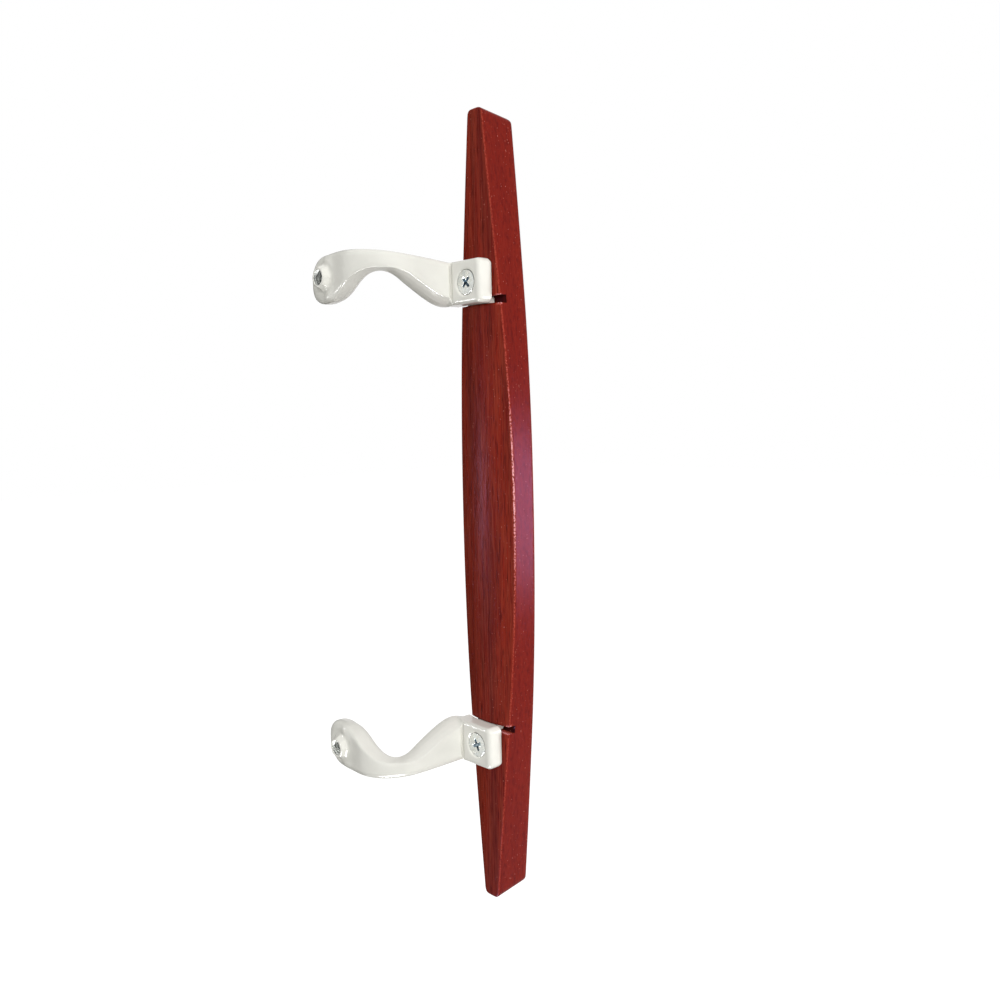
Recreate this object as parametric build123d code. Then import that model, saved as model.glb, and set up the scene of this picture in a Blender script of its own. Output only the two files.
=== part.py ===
"""Canoe pull handle for a sliding door.

A lens-shaped wooden bar is carried by two mirrored cast brackets. Each bracket sits on the bar's back with a
lip in a saw kerf, is held by one countersunk wood screw, and reaches sideways to a pad with a tapped boss.

Frame: +Z up along the bar, +Y into the door. The door's face is Y = 0, and the origin lies midway between
the two tapped holes. Lengths are in millimetres and angles in degrees.
"""

import math
import os

from build123d import *

# Door interface
HOLE_SPACING = 168.275
TAPPED_HOLE_DIAMETER = 5.1
TAPPED_HOLE_DEPTH = 7.0
BOSS_BASE_WIDTH = 8.7
BOSS_END_WIDTH = 6.5
BOSS_HEIGHT = 2.5
BOSS_SIDES = 8

# Where the bar hangs from the door interface
BAR_OFFSET = 43.7
STANDOFF = 27.5

# Wooden bar
BAR_LENGTH = 275.0
BAR_WIDTH = 26.9
BAR_END_WIDTH = 7.1
BAR_THICKNESS = 14.6
BAR_CROWN_RADIUS = 38.0
BAR_CURVED_LENGTH = 150.0
BAR_END_SLOPE = 8.0
BAR_END_CORNER_ROUND = 2.0
BAR_FRONT_EDGE_EASE = 0.85
BAR_BACK_EDGE_EASE = 0.4
KERF_WIDTH = 2.7
KERF_DEPTH = 4.1

# Cast bracket: pad, bent arm and foot
PAD_RADIUS = 8.25
PAD_DROP = 0.5
PAD_THICKNESS = 6.2
ARM_LEAN = 70.0
BEND_RADIUS = 20.0
SHOULDER_RISE = 0.5
SHOULDER_POWER = 1.5
WAIST_WIDTH = 6.5
WAIST_THICKNESS = 6.2
ROOT_THICKNESS = 8.2
ARM_EDGE_ROUND = 1.8
FOOT_DROP = 4.1
FOOT_INNER_SIDE = 7.1
FOOT_OUTER_SIDE = 7.5
FOOT_THICKNESS = 5.3
FOOT_FREE_SIDE = 6.8
FOOT_ARM_SIDE = 7.5
FOOT_CORNER_EASE = 1.2
FOOT_EDGE_ROUND = 1.2
RIDGE_ROUND = 1.2
LIP_CLEARANCE = 0.15
LIP_INSET = 2.5
SEAT_CLEARANCE = 0.05

# Wood screw
SCREW_LENGTH = 15.5
SCREW_HEAD_DIAMETER = 8.3
SCREW_HEAD_EDGE = 0.25
SCREW_HEAD_ANGLE = 82.0
SCREW_SHANK_DIAMETER = 4.2
SCREW_TIP_LENGTH = 4.0
SCREW_TIP_DIAMETER = 0.6
SCREW_SINK = 0.3
SCREW_CLEARANCE = 0.1
RECESS_WIDTH = 4.8
RECESS_FLOOR_WIDTH = 1.6
RECESS_SLOT = 1.2
RECESS_DEPTH = 2.2
UPPER_RECESS_TURN = 45.0
LOWER_RECESS_TURN = 25.0

# Number of sections drawn along each half of the arm
ARM_STATIONS = 5
# Rounds of the fixed-point search for the bar's flank angle
FLANK_ROUNDS = 30
# Length by which a cutting solid overshoots the face it cuts
OVERSHOOT = 1.0
# Narrow flats that round each long edge of the arm and pad
EDGE_FLATS = 2

bar_x = -BAR_OFFSET
plate_y = -STANDOFF
bar_back_y = plate_y - FOOT_THICKNESS
bar_middle_y = bar_back_y - BAR_THICKNESS / 2
bar_front_y = bar_back_y - BAR_THICKNESS
boss_z = HOLE_SPACING / 2
pad_z = boss_z - PAD_DROP
pad_low_z = pad_z - PAD_RADIUS
pad_high_z = pad_z + PAD_RADIUS
foot_z = boss_z - FOOT_DROP
foot_low_z = foot_z - FOOT_INNER_SIDE
foot_high_z = foot_z + FOOT_OUTER_SIDE
lip_width = KERF_WIDTH - 2 * LIP_CLEARANCE
kerf_z = foot_low_z + lip_width / 2
kerf_floor_y = bar_back_y - KERF_DEPTH
ridge_x = bar_x + FOOT_ARM_SIDE
foot_free_x = bar_x - FOOT_FREE_SIDE
screw_x = (foot_free_x + ridge_x) / 2
lean = math.radians(ARM_LEAN)
half_head_tangent = math.tan(math.radians(SCREW_HEAD_ANGLE / 2))


def bar_flank_angle():
    """Angle between the bar's straight flanks and its axis, tangent to the curved middle."""
    half_curve = BAR_CURVED_LENGTH / 2
    straight = BAR_LENGTH / 2 - half_curve
    drop = (BAR_WIDTH - BAR_END_WIDTH) / 2
    half_tangent = 0.0
    for _ in range(FLANK_ROUNDS):
        half_tangent = drop / (half_curve + 2 * straight / (1 - half_tangent**2))
    return 2 * math.atan(half_tangent)


def bar_outline(half_length):
    """The lens seen from the door: arcs that run out into straight flanks, with rounded end corners."""
    angle = bar_flank_angle()
    half_curve = BAR_CURVED_LENGTH / 2
    middle = BAR_WIDTH / 2
    joint = middle - half_curve * math.tan(angle / 2)
    end = joint - (half_length - half_curve) * math.tan(angle)
    with BuildLine() as outline:
        for side in (1, -1):
            Line((-end, side * half_length), (end, side * half_length))
            Line((side * end, half_length), (side * joint, half_curve))
            ThreePointArc((side * joint, half_curve), (side * middle, 0), (side * joint, -half_curve))
            Line((side * joint, -half_curve), (side * end, -half_length))
    lens = make_face(outline.edges())
    ends = lens.edges().filter_by(Axis.X)
    return fillet(ends.vertices(), BAR_END_CORNER_ROUND)


def bar_section(half_width, margin):
    """The crowned section of the bar's blank, grown by a margin on both faces."""
    radius = BAR_CROWN_RADIUS + margin
    top = BAR_THICKNESS / 2 + margin
    edge = top - radius + math.sqrt(radius**2 - half_width**2)
    with BuildLine() as outline:
        ThreePointArc((-half_width, edge), (0, top), (half_width, edge))
        Line((half_width, edge), (half_width, -edge))
        ThreePointArc((half_width, -edge), (0, -top), (-half_width, -edge))
        Line((-half_width, -edge), (-half_width, edge))
    return make_face(outline.edges())


def bar_blank(half_width, margin=0.0):
    """The crowned blank at full length, from which the bar is sawn."""
    section = Pos(bar_x, bar_middle_y, 0) * bar_section(half_width, margin)
    return extrude(section, amount=BAR_LENGTH / 2 + OVERSHOOT, both=True)


def make_bar():
    """The wooden bar with its eased edges, saw kerfs and pilot holes."""
    half = BAR_LENGTH / 2
    front_half = half - BAR_THICKNESS * math.tan(math.radians(BAR_END_SLOPE))
    back = Plane.XZ.offset(-bar_back_y) * bar_outline(half)
    front = Plane.XZ.offset(-bar_front_y) * bar_outline(front_half)
    lens = Pos(bar_x, 0, 0) * loft([back, front], ruled=True)
    bar = bar_blank(BAR_WIDTH / 2 + OVERSHOOT) & lens
    bar = chamfer(bar.faces().sort_by(Axis.Y)[0].edges(), BAR_FRONT_EDGE_EASE)
    bar = chamfer(bar.faces().sort_by(Axis.Y)[-1].edges(), BAR_BACK_EDGE_EASE)
    saw = Box(BAR_WIDTH + 2 * OVERSHOOT, KERF_DEPTH + OVERSHOOT, KERF_WIDTH)
    for side_sign in (1, -1):
        bar -= Pos(bar_x, kerf_floor_y + (KERF_DEPTH + OVERSHOOT) / 2, side_sign * kerf_z) * saw
        bar -= screw_place(side_sign) * screw_hole()
    return bar


def smooth_step(share):
    """A rise from 0 to 1 with level ends."""
    return (1 - math.cos(math.pi * share)) / 2


def blend(start, end, share):
    """A smooth change from one value to another, held at both ends."""
    return start + (end - start) * smooth_step(min(max(share, 0.0), 1.0))


def eased_rectangle(width, height):
    """A rectangle whose corners are rounded by narrow flats."""
    corners = []
    for turn, (side_x, side_y) in enumerate(((1, 1), (-1, 1), (-1, -1), (1, -1))):
        for step in range(EDGE_FLATS + 1):
            angle = math.radians(90 * (turn + step / EDGE_FLATS))
            across = side_x * (width / 2 - ARM_EDGE_ROUND) + ARM_EDGE_ROUND * math.cos(angle)
            up = side_y * (height / 2 - ARM_EDGE_ROUND) + ARM_EDGE_ROUND * math.sin(angle)
            corners.append((across, up))
    return make_face(Polyline(corners, close=True))


class ArmPath:
    """The bracket's outer face seen along the bar: up from the foot, round the bend, over to the boss."""

    def __init__(self):
        sunk = FOOT_THICKNESS
        start = (ridge_x - sunk / math.tan(lean), plate_y - sunk)
        corner = (ridge_x + STANDOFF / math.tan(lean), 0)
        self.line = FilletPolyline(start, corner, (0, 0), radius=BEND_RADIUS)
        self.buried = sunk / math.sin(lean)
        self.length = self.line.length - self.buried
        shoulder_z = pad_high_z + SHOULDER_RISE
        fall = (SHOULDER_RISE / (shoulder_z - foot_high_z)) ** (1 / SHOULDER_POWER)
        self.shoulder_at = self.length / (1 + fall)

    def high_edge(self, along):
        """Height of the outer edge: a rise from the foot to the shoulder, then down to the pad."""
        shoulder_z = pad_high_z + SHOULDER_RISE
        share = abs(1 - max(along, 0.0) / self.shoulder_at)
        return shoulder_z - (shoulder_z - foot_high_z) * share**SHOULDER_POWER

    def low_edge(self, along):
        """Height of the inner edge: up from the foot to the waist, then down to the pad."""
        half = self.length / 2
        waist = self.high_edge(half) - WAIST_WIDTH
        if along < half:
            return blend(foot_low_z, waist, along / half)
        return blend(waist, pad_low_z, along / half - 1)

    def thickness(self, along):
        """Thickness from the root at the foot to the waist, and on to the pad."""
        half = self.length / 2
        if along < half:
            return blend(ROOT_THICKNESS, WAIST_THICKNESS, along / half)
        return blend(WAIST_THICKNESS, PAD_THICKNESS, along / half - 1)

    def section(self, along):
        """One rounded section, square to the path; along counts from the foot plate's face."""
        spot = self.line.position_at(along + self.buried, position_mode=PositionMode.LENGTH)
        heading = self.line.tangent_at(along + self.buried, position_mode=PositionMode.LENGTH)
        outward = Vector(-heading.Y, heading.X, 0)
        low = self.low_edge(along)
        high = self.high_edge(along)
        thick = self.thickness(along)
        centre = spot - outward * (thick / 2) + Vector(0, 0, (low + high) / 2)
        place = Plane(centre, x_dir=outward, z_dir=heading)
        return place * eased_rectangle(thick, high - low)


def make_arm():
    """The bent arm, lofted through sections from inside the foot to the boss."""
    path = ArmPath()
    count = 2 * ARM_STATIONS
    stations = [-path.buried] + [path.length * step / count for step in range(count + 1)]
    return loft([path.section(along) for along in stations])


def make_pad_end():
    """The round end of the pad, beyond the boss."""
    whole = eased_rectangle(PAD_THICKNESS, 2 * PAD_RADIUS)
    half = whole & Pos(0, PAD_RADIUS) * Rectangle(PAD_THICKNESS, 2 * PAD_RADIUS)
    section = Plane.YZ * Pos(-PAD_THICKNESS / 2, pad_z) * half
    return revolve(section, axis=Axis((0, 0, pad_z), (0, 1, 0)), revolution_arc=180)


def make_boss():
    """The tapered, eight-sided boss that stands out of the pad into the door."""
    base = RegularPolygon(BOSS_BASE_WIDTH / 2, BOSS_SIDES, major_radius=False)
    end = RegularPolygon(BOSS_END_WIDTH / 2, BOSS_SIDES, major_radius=False)
    stem = extrude(base, amount=-PAD_THICKNESS / 2)
    crown = loft([base, Pos(0, 0, BOSS_HEIGHT) * end])
    return Pos(0, 0, boss_z) * Rot(X=-90) * (stem + crown)


def make_tapped_hole():
    """The cored blind hole in the boss, at the tapping size."""
    depth = TAPPED_HOLE_DEPTH + OVERSHOOT
    hole = Cylinder(TAPPED_HOLE_DIAMETER / 2, depth)
    return Pos(0, BOSS_HEIGHT + OVERSHOOT - depth / 2, boss_z) * Rot(X=-90) * hole


def make_foot_plate():
    """The foot's plate, eased at its free corners and rounded on its face, reaching into the arm's root."""
    depth = FOOT_THICKNESS + BAR_THICKNESS / 2
    reach = ridge_x + ROOT_THICKNESS / 2 - foot_free_x
    height = foot_high_z - foot_low_z
    middle = (foot_free_x + reach / 2, plate_y - depth / 2, foot_low_z + height / 2)
    plate = Pos(middle) * Box(reach, depth, height)
    plate = chamfer(plate.edges().filter_by(Axis.Y).sort_by(Axis.X)[:2], FOOT_CORNER_EASE)
    rims = plate.faces().sort_by(Axis.Y)[-1].edges().sort_by(Axis.X)[:-1]
    return fillet(rims, FOOT_EDGE_ROUND)


def make_ridge_fill():
    """The hollow rounding along the ridge where the foot plate turns up into the arm."""
    setback = RIDGE_ROUND * math.tan(lean / 2)
    on_plate = (ridge_x - setback, plate_y)
    on_arm = (ridge_x + setback * math.cos(lean), plate_y + setback * math.sin(lean))
    buried = (ridge_x + ROOT_THICKNESS / 2, plate_y - FOOT_THICKNESS / 2)
    with BuildLine() as outline:
        TangentArc(on_plate, on_arm, tangent=(1, 0))
        Polyline(on_arm, buried, on_plate)
    low_z = foot_low_z + ARM_EDGE_ROUND
    high_z = foot_high_z - ARM_EDGE_ROUND
    return Pos(0, 0, low_z) * extrude(make_face(outline.edges()), amount=high_z - low_z)


def make_lip():
    """The lip that drops from the foot's inner end into the bar's saw kerf."""
    floor_y = kerf_floor_y + LIP_CLEARANCE
    top_y = plate_y - FOOT_THICKNESS / 2
    length = ridge_x - foot_free_x - 2 * LIP_INSET
    lip = Box(length, top_y - floor_y, lip_width)
    return Pos(screw_x, (floor_y + top_y) / 2, kerf_z) * lip


def make_upper_bracket():
    """The upper casting: foot, arm, pad and boss in one piece."""
    body = make_foot_plate() + make_arm()
    body += make_ridge_fill()
    body += make_pad_end()
    body += make_boss()
    body -= bar_blank(BAR_WIDTH / 2 + OVERSHOOT, SEAT_CLEARANCE)
    body += make_lip()
    body -= make_tapped_hole()
    body -= screw_place(1) * screw_hole()
    return body


def screw_place(side_sign):
    """Where a wood screw sits: its head sunk in the foot plate, pointing away from the door."""
    return Pos(screw_x, plate_y - SCREW_SINK, side_sign * foot_z) * Rot(X=90)


def countersink(margin):
    """The head's flank from its edge to the shank, as points along +Y from the head, grown by a margin."""
    head = SCREW_HEAD_DIAMETER / 2 + margin
    shank = SCREW_SHANK_DIAMETER / 2 + margin
    return [(head, SCREW_HEAD_EDGE), (shank, SCREW_HEAD_EDGE + (head - shank) / half_head_tangent)]


def screw_hole():
    """The countersunk hole for a screw, opening out to the foot plate's face and beyond."""
    flank = countersink(SCREW_CLEARANCE)
    head, shank = flank[0][0], flank[1][0]
    mouth_y = -SCREW_SINK - OVERSHOOT
    mouth = head + (SCREW_HEAD_EDGE - mouth_y) * half_head_tangent
    floor_y = SCREW_LENGTH + SCREW_CLEARANCE
    corners = [(0, mouth_y), (mouth, mouth_y)] + flank + [(shank, floor_y), (0, floor_y)]
    return revolve(Plane.XZ * make_face(Polyline(corners, close=True)), axis=Axis.Z)


def make_screw(side_sign, recess_turn):
    """A flat-head wood screw with a cross recess."""
    tip_start = SCREW_LENGTH - SCREW_TIP_LENGTH
    shank = SCREW_SHANK_DIAMETER / 2
    point = SCREW_TIP_DIAMETER / 2
    tip = [(shank, tip_start), (point, SCREW_LENGTH), (0, SCREW_LENGTH)]
    corners = [(0, 0), (SCREW_HEAD_DIAMETER / 2, 0)] + countersink(0.0) + tip
    screw = revolve(Plane.XZ * make_face(Polyline(corners, close=True)), axis=Axis.Z)
    wing = make_face(
        Polyline(
            [
                (-RECESS_WIDTH / 2, 0),
                (RECESS_WIDTH / 2, 0),
                (RECESS_FLOOR_WIDTH / 2, RECESS_DEPTH),
                (-RECESS_FLOOR_WIDTH / 2, RECESS_DEPTH),
            ],
            close=True,
        )
    )
    slot = extrude(Plane.XZ * wing, amount=RECESS_SLOT / 2, both=True)
    for quarter in (0, 90):
        screw -= Rot(Z=recess_turn + quarter) * slot
    return screw_place(side_sign) * screw


def main():
    """Builds every piece and writes one file for each."""
    upper_bracket = make_upper_bracket()
    pieces = {
        "wood_bar": make_bar(),
        "upper_bracket": upper_bracket,
        "lower_bracket": mirror(upper_bracket, about=Plane.XY),
        "upper_wood_screw": make_screw(1, UPPER_RECESS_TURN),
        "lower_wood_screw": make_screw(-1, LOWER_RECESS_TURN),
    }
    os.makedirs("parts", exist_ok=True)
    for name, piece in pieces.items():
        export_step(piece, os.path.join("parts", name + ".step"))


main()
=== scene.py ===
"""Look of a door pull: a canoe-shaped hardwood bar carried by two enamelled die-cast brackets.

Lengths in the classes are millimetres in the part's own frame: +Z up along the bar, +Y into the door.
"""

import logging
import math
from collections.abc import Callable
from dataclasses import dataclass, field
from enum import Enum

import bmesh
import bpy
import numpy as np
from mathutils import Euler, Matrix, Vector


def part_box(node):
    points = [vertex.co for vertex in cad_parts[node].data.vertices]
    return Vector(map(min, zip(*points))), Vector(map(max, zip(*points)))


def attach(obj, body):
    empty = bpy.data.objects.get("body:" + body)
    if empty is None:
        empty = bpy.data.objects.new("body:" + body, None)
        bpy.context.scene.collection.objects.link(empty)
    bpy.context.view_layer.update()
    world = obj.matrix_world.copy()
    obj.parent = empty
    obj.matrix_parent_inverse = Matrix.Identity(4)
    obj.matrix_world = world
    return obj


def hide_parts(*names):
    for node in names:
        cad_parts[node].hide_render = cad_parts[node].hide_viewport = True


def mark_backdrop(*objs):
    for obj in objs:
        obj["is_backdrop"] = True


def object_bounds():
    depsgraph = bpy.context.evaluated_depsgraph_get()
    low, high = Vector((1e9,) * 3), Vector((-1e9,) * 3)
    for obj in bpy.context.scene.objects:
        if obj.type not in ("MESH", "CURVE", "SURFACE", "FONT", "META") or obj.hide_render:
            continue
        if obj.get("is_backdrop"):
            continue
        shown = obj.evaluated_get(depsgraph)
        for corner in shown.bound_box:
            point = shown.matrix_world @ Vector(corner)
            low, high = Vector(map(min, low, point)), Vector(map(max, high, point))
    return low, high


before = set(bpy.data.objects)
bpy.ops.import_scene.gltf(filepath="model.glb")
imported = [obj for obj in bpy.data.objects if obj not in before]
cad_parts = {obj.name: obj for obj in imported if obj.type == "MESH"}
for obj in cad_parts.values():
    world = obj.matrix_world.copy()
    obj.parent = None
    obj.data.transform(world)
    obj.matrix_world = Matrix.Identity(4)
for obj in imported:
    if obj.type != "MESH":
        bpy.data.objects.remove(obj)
cad_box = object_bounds()

MM = 0.001
BODY = "root"
WHITE = "#FFFFFF"
ROD_SIDES = 32
SMOOTHING = 0.5
WELDS_PER_QUAD = 100
# Sockets of a colour Mix node: the colour below, the colour above, and the result.
UNDER, OVER, BLEND = 6, 7, 2
log = logging.getLogger("canoe_pull")


class Side(Enum):
    """Which of the two mirrored brackets, as the sign of its height on the bar."""

    UPPER = 1
    LOWER = -1


class LampRole(Enum):
    """What a lamp is for: even light on surfaces, or a gleam that only glossy finishes show."""

    FILL = "fill"
    GLEAM = "gleam"


def linear(colour: str) -> tuple[float, float, float, float]:
    """Turns an sRGB hex colour into linear light.

    Args:
        colour: Colour as "#RRGGBB".

    Returns:
        Red, green, blue and an alpha of 1.
    """
    shares = [int(colour[place : place + 2], 16) / 255 for place in (1, 3, 5)]
    light = [s / 12.92 if s <= 0.04045 else ((s + 0.055) / 1.055) ** 2.4 for s in shares]
    return (light[0], light[1], light[2], 1.0)


def add_node(
    tree: bpy.types.NodeTree,
    kind: str,
    settings: dict[str | int, object] | None = None,
    links: dict[str | int, bpy.types.NodeSocket] | None = None,
) -> bpy.types.Node:
    """Adds one shader node with its settings and links.

    Args:
        tree: Node tree that gets the node.
        kind: Node type without its ShaderNode prefix.
        settings: Node properties, and values for its unlinked sockets.
        links: Output sockets to link, by input socket.

    Returns:
        The new node.
    """
    node = tree.nodes.new("ShaderNode" + kind)
    for name, value in (settings or {}).items():
        if isinstance(name, str) and hasattr(node, name):
            setattr(node, name, value)
        else:
            node.inputs[name].default_value = value
    for name, source in (links or {}).items():
        tree.links.new(source, node.inputs[name])
    return node


def empty_tree(block: bpy.types.Material | bpy.types.World) -> bpy.types.NodeTree:
    """Turns nodes on for a material or world.

    Args:
        block: Material or world to prepare.

    Returns:
        Its node tree, with nothing in it.
    """
    block.use_nodes = True
    block.node_tree.nodes.clear()
    return block.node_tree


def new_object(name: str, mesh: bpy.types.Mesh) -> bpy.types.Object:
    """Puts a mesh into the scene.

    Args:
        name: Name of the object and its mesh.
        mesh: Mesh to show.

    Returns:
        The linked object.
    """
    mesh.name = name
    thing = bpy.data.objects.new(name, mesh)
    bpy.context.scene.collection.objects.link(thing)
    return thing


def mesh_of(name: str, shape: bmesh.types.BMesh) -> bpy.types.Mesh:
    """Turns a shape under construction into a mesh.

    Args:
        name: Name of the mesh.
        shape: Shape to turn, freed here.

    Returns:
        The mesh.
    """
    mesh = bpy.data.meshes.new(name)
    shape.to_mesh(mesh)
    shape.free()
    return mesh


def skinned(shape: bmesh.types.BMesh, rings: list[list[bmesh.types.BMVert]]) -> bmesh.types.BMesh:
    """Closes a skin over rings of points, with a cap at each end.

    Args:
        shape: Shape that holds the points.
        rings: Rings with the same number of points, in order.

    Returns:
        The same shape, closed and facing outward.
    """
    for first, second in zip(rings, rings[1:]):
        for place in range(len(first)):
            shape.faces.new((first[place - 1], first[place], second[place], second[place - 1]))
    shape.faces.new(rings[0])
    shape.faces.new(rings[-1][::-1])
    bmesh.ops.recalc_face_normals(shape, faces=shape.faces)
    return shape


def rod(radius: float, length: float, seat: Matrix) -> bmesh.types.BMesh:
    """Makes a round cutting tool.

    Args:
        radius: Radius of the rod.
        length: Length of the rod.
        seat: Place of the rod's middle, and its turn from +Z.

    Returns:
        The closed rod.
    """
    tool = bmesh.new()
    bmesh.ops.create_cone(
        tool,
        cap_ends=True,
        segments=ROD_SIDES,
        radius1=radius,
        radius2=radius,
        depth=length,
        matrix=seat,
    )
    return tool


def baked(thing: bpy.types.Object) -> bpy.types.Mesh:
    """Applies an object's modifiers and removes the object.

    Args:
        thing: Object whose modifiers are to be applied.

    Returns:
        The finished mesh.
    """
    graph = bpy.context.evaluated_depsgraph_get()
    mesh = bpy.data.meshes.new_from_object(thing.evaluated_get(graph))
    bpy.data.objects.remove(thing)
    return mesh


def cut_by(mesh: bpy.types.Mesh, tool: bmesh.types.BMesh) -> bpy.types.Mesh:
    """Cuts a closed tool out of a mesh.

    Args:
        mesh: Mesh that is cut.
        tool: Closed cutting shape, freed here.

    Returns:
        The mesh that is left.
    """
    cutter = new_object("tool", mesh_of("tool", tool))
    thing = new_object("blank", mesh)
    cut = thing.modifiers.new("cut", "BOOLEAN")
    cut.operation = "DIFFERENCE"
    cut.solver = "EXACT"
    cut.object = cutter
    left = baked(thing)
    bpy.data.objects.remove(cutter)
    return left


def softened(mesh: bpy.types.Mesh, grain: float, rounds: int) -> bpy.types.Mesh:
    """Gives a mesh an even skin of small quads and rounds its edges.

    Args:
        mesh: Closed mesh in millimetres.
        grain: Size of the skin's quads in millimetres.
        rounds: How often neighbouring points are averaged.

    Returns:
        The softened mesh.
    """
    thing = new_object("skin", mesh)
    weld = thing.modifiers.new("weld", "WELD")
    weld.merge_threshold = grain / WELDS_PER_QUAD
    skin = thing.modifiers.new("skin", "REMESH")
    skin.mode = "VOXEL"
    skin.voxel_size = grain
    smooth = thing.modifiers.new("smooth", "SMOOTH")
    smooth.factor = SMOOTHING
    smooth.iterations = rounds
    return baked(thing)


def placed(name: str, mesh: bpy.types.Mesh, node: str) -> bpy.types.Object:
    """Puts a finished mesh in place of a CAD node.

    Args:
        name: Name of the piece.
        mesh: Mesh in millimetres, in the part's frame.
        node: CAD node that the piece stands for.

    Returns:
        The piece, riding on the part's one body.
    """
    mesh.transform(Matrix.Scale(MM, 4))
    mesh.shade_smooth()
    piece = new_object(name, mesh)
    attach(piece, BODY)
    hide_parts(node)
    return piece


def dressed(
    piece: bpy.types.Object,
    outer: bpy.types.Material,
    inner: bpy.types.Material,
    is_inner: Callable[[Vector], bool],
) -> bpy.types.Object:
    """Gives a piece its two finishes.

    Args:
        piece: Piece to dress.
        outer: Finish of its outside.
        inner: Finish of its holes and cuts.
        is_inner: Tells whether a face's middle, in millimetres, lies in a hole or cut.

    Returns:
        The same piece.
    """
    piece.data.materials.clear()
    piece.data.materials.append(outer)
    piece.data.materials.append(inner)
    for face in piece.data.polygons:
        if is_inner(face.center / MM):
            face.material_index = 1
    return piece


@dataclass(frozen=True)
class GrainLayer:
    """One noise layer of the wood: its size across and along the bar, and where it starts and is full."""

    across: float
    along: float
    detail: float
    low: float
    high: float


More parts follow.
